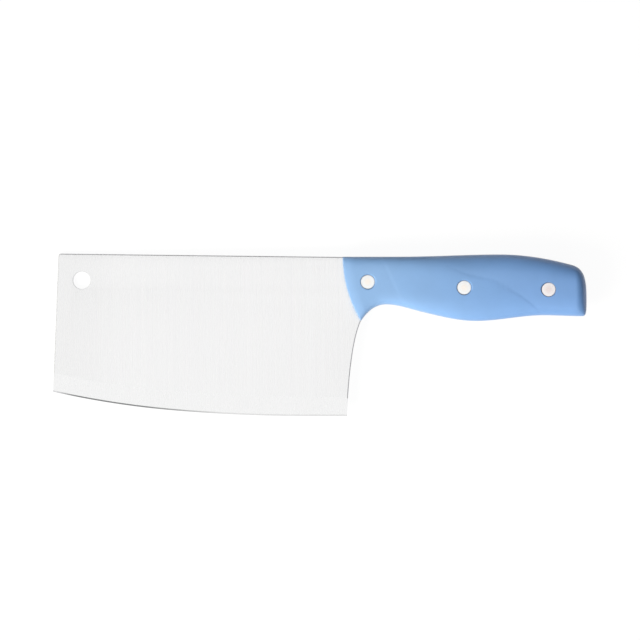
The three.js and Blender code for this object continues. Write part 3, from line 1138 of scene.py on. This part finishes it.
class KNIFE_OT_rivets(bpy.types.Operator):
    """Turns the three two-piece rivets"""

    bl_idname = "knife.rivets"
    bl_label = "Rivets"

    def execute(self, context):
        colours = context.scene.knife_colours
        low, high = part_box("front_rivet_post")
        radius = (high.x - low.x) / 2 / MM
        bright = turned_aluminium("turned_aluminium", colours.rivet, colours.rivet_middle, radius)
        rear = (colours.rear_rivet, colours.rear_rivet_middle)
        rear_metal = turned_aluminium("rear_aluminium", *rear, radius)
        for name in RIVETS:
            metal = rear_metal if name == "rear" else bright
            for half in ("post", "socket"):
                self.turn(f"{name}_rivet_{half}", half == "socket", metal)
        return {"FINISHED"}

    def turn(self, node, hollow, metal):
        """A headed post, or a headed socket with a bore for it, which is turned over to the far side."""
        centre, crest = rivet_place(node.split("_")[0])
        low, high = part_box(node)
        radius = (high.x - low.x) / 2
        seat = crest - HEAD_DEPTH * MM
        end = SHANK_STOP * MM - seat
        rim = HEAD_RIM * MM
        dome = HEAD_DOME * MM
        edge = crest - dome
        head = [(radius, seat), (radius, edge - rim)]
        for step in range(1, RIM_STEPS + 1):
            turn = math.pi / 2 * step / RIM_STEPS
            head.append((radius - rim * (1 - math.cos(turn)), edge - rim * (1 - math.sin(turn))))
        for step in range(1, DOME_STEPS + 1):
            out = 1 - step / DOME_STEPS
            head.append(((radius - rim) * out, crest - dome * out**2))
        if hollow:
            bore = SOCKET_BORE * MM
            shank = SOCKET_RADIUS * MM
            soft = SOCKET_CHAMFER * MM
            profile = [(0, seat), (bore, seat), (bore, end + soft), (bore + soft, end)]
        else:
            shank = POST_RADIUS * MM
            soft = POST_CHAMFER * MM
            profile = [(0, end)]
        profile += [(shank - soft, end), (shank, end + soft), (shank, seat)]
        bm = turned(profile + head, centre)
        if hollow:
            turn_over(bm)
        shade(bm, RIVET_SHARP)
        turning = bm.loops.layers.uv.new("turning")
        for face in bm.faces:
            for loop in face.loops:
                loop[turning].uv = (loop.vert.co - centre).xy / MM
        finish_piece(bm, f"knife_{node}", [metal], node)


class KNIFE_OT_stage(bpy.types.Operator):
    """Sets the table, the light and the camera"""

    bl_idname = "knife.stage"
    bl_label = "Stage"

    def execute(self, context):
        stage = context.scene.knife_stage
        self.table(context.scene.knife_colours.floor)
        dark = studio_cloth("dark_flag_cloth", stage.flag_cloth, stage.flag_sheen)
        pale = studio_cloth("pale_card", stage.card, stage.card)
        self.screen("butt_flag", BUTT_FLAG, dark)
        self.screen("spine_flag", SPINE_FLAG, dark)
        self.screen("high_shade", HIGH_SHADE, dark).visible_glossy = False
        self.screen("pale_card", PALE_CARD, pale).visible_diffuse = False
        self.world(stage)
        self.key(stage)
        self.camera(stage)
        context.scene.view_settings.view_transform = "Standard"
        return {"FINISHED"}

    def table(self, colour):
        """A wide table in the plane on which the knife comes to rest: nose and handle touch it."""
        half_width = 6
        bm = bmesh.new()
        bmesh.ops.create_grid(bm, x_segments=1, y_segments=1, size=half_width)
        down = Vector(REST_DOWN)
        turn = Vector((0, 0, -1)).rotation_difference(down)
        bmesh.ops.rotate(bm, cent=(0, 0, 0), matrix=turn.to_matrix(), verts=bm.verts)
        bmesh.ops.translate(bm, verts=bm.verts, vec=-down * REST_DROP * MM)
        table = new_object(bm, "table", [table_paint(colour)])

    def screen(self, name, place, cloth):
        """A curved screen beside the knife, out of the camera's sight."""
        span, radius, levels = place
        bm = bmesh.new()
        foot = bm.verts.new((radius, 0, levels[0]))
        head = bm.verts.new((radius, 0, levels[1]))
        side = bm.edges.new((foot, head))
        start = Matrix.Rotation(math.radians(span[0]), 3, "Z")
        bmesh.ops.rotate(bm, cent=(0, 0, 0), matrix=start, verts=[foot, head])
        bmesh.ops.spin(
            bm,
            geom=[foot, head, side],
            cent=(0, 0, 0),
            axis=(0, 0, 1),
            angle=math.radians(span[1] - span[0]),
            steps=32,
        )
        screen = new_object(bm, name, [cloth])
        screen.visible_camera = False
        return screen

    def key(self, stage):
        """A large soft lamp ahead of the nose, which makes the front of the handle the brighter end."""
        data = bpy.data.lights.new("key", "AREA")
        data.energy = stage.key_power
        data.size = stage.key_size
        data.color = stage.key_tint
        lamp = bpy.data.objects.new("key", data)
        lamp.location = stage.key_place
        lamp.rotation_euler = (-lamp.location).to_track_quat("-Z", "Y").to_euler()
        bpy.context.scene.collection.objects.link(lamp)
        lamp.visible_glossy = False

    def world(self, stage):
        """An even white room, whose light on matt surfaces is set apart from what glossy ones mirror."""
        world = bpy.data.worlds.new("studio")
        bpy.context.scene.world = world
        world.use_nodes = True
        tree = world.node_tree
        tree.nodes.clear()
        path = add_node(tree, "ShaderNodeLightPath")
        strength = add_node(
            tree,
            "ShaderNodeMapRange",
            inputs={
                "Value": path.outputs["Is Diffuse Ray"],
                "To Min": stage.room_light,
                "To Max": stage.fill_light,
            },
        )
        tint = add_node(
            tree,
            "ShaderNodeMix",
            {"data_type": "RGBA"},
            {"Factor": path.outputs["Is Diffuse Ray"], "A": (1, 1, 1, 1), "B": rgba(stage.fill_tint)},
        )
        light = add_node(
            tree,
            "ShaderNodeBackground",
            inputs={"Color": tint.outputs["Result"], "Strength": strength.outputs["Result"]},
        )
        output = add_node(tree, "ShaderNodeOutputWorld")
        tree.links.new(light.outputs["Background"], output.inputs["Surface"])

    def camera(self, stage):
        """Straight above the side of the blade, spine up in the picture."""
        data = bpy.data.cameras.new("camera")
        data.sensor_width = 36
        data.lens = data.sensor_width * stage.camera_height / stage.view_width
        camera = bpy.data.objects.new("camera", data)
        level = ZERO.z + HALF_STEEL + stage.camera_height
        camera.location = (ZERO.x + stage.view_centre[0], ZERO.y + stage.view_centre[1], level)
        bpy.context.scene.collection.objects.link(camera)
        bpy.context.scene.camera = camera


OPERATORS = (KNIFE_OT_stage, KNIFE_OT_blade, KNIFE_OT_scales, KNIFE_OT_rivets)


class KNIFE_PT_panel(bpy.types.Panel):
    """Lists the sizes, the colours and the steps"""

    bl_idname = "KNIFE_PT_panel"
    bl_label = "Butcher Knife"
    bl_space_type = "VIEW_3D"
    bl_region_type = "UI"
    bl_category = "Knife"

    def draw(self, context):
        scene = context.scene
        for group in (scene.knife_sizes, scene.knife_colours, scene.knife_stage):
            for name in group.__annotations__:
                self.layout.prop(group, name)
        for operator in OPERATORS:
            self.layout.operator(operator.bl_idname)


CLASSES = (KnifeSizes, KnifeColours, KnifeStage, *OPERATORS, KNIFE_PT_panel)


def register():
    for cls in CLASSES:
        bpy.utils.register_class(cls)
    bpy.types.Scene.knife_sizes = PointerProperty(type=KnifeSizes)
    bpy.types.Scene.knife_colours = PointerProperty(type=KnifeColours)
    bpy.types.Scene.knife_stage = PointerProperty(type=KnifeStage)


def unregister():
    del bpy.types.Scene.knife_stage
    del bpy.types.Scene.knife_colours
    del bpy.types.Scene.knife_sizes
    for cls in reversed(CLASSES):
        bpy.utils.unregister_class(cls)


def main():
    register()
    bpy.ops.knife.stage()
    bpy.ops.knife.blade()
    bpy.ops.knife.scales()
    bpy.ops.knife.rivets()


if __name__ == "__main__":
    main()
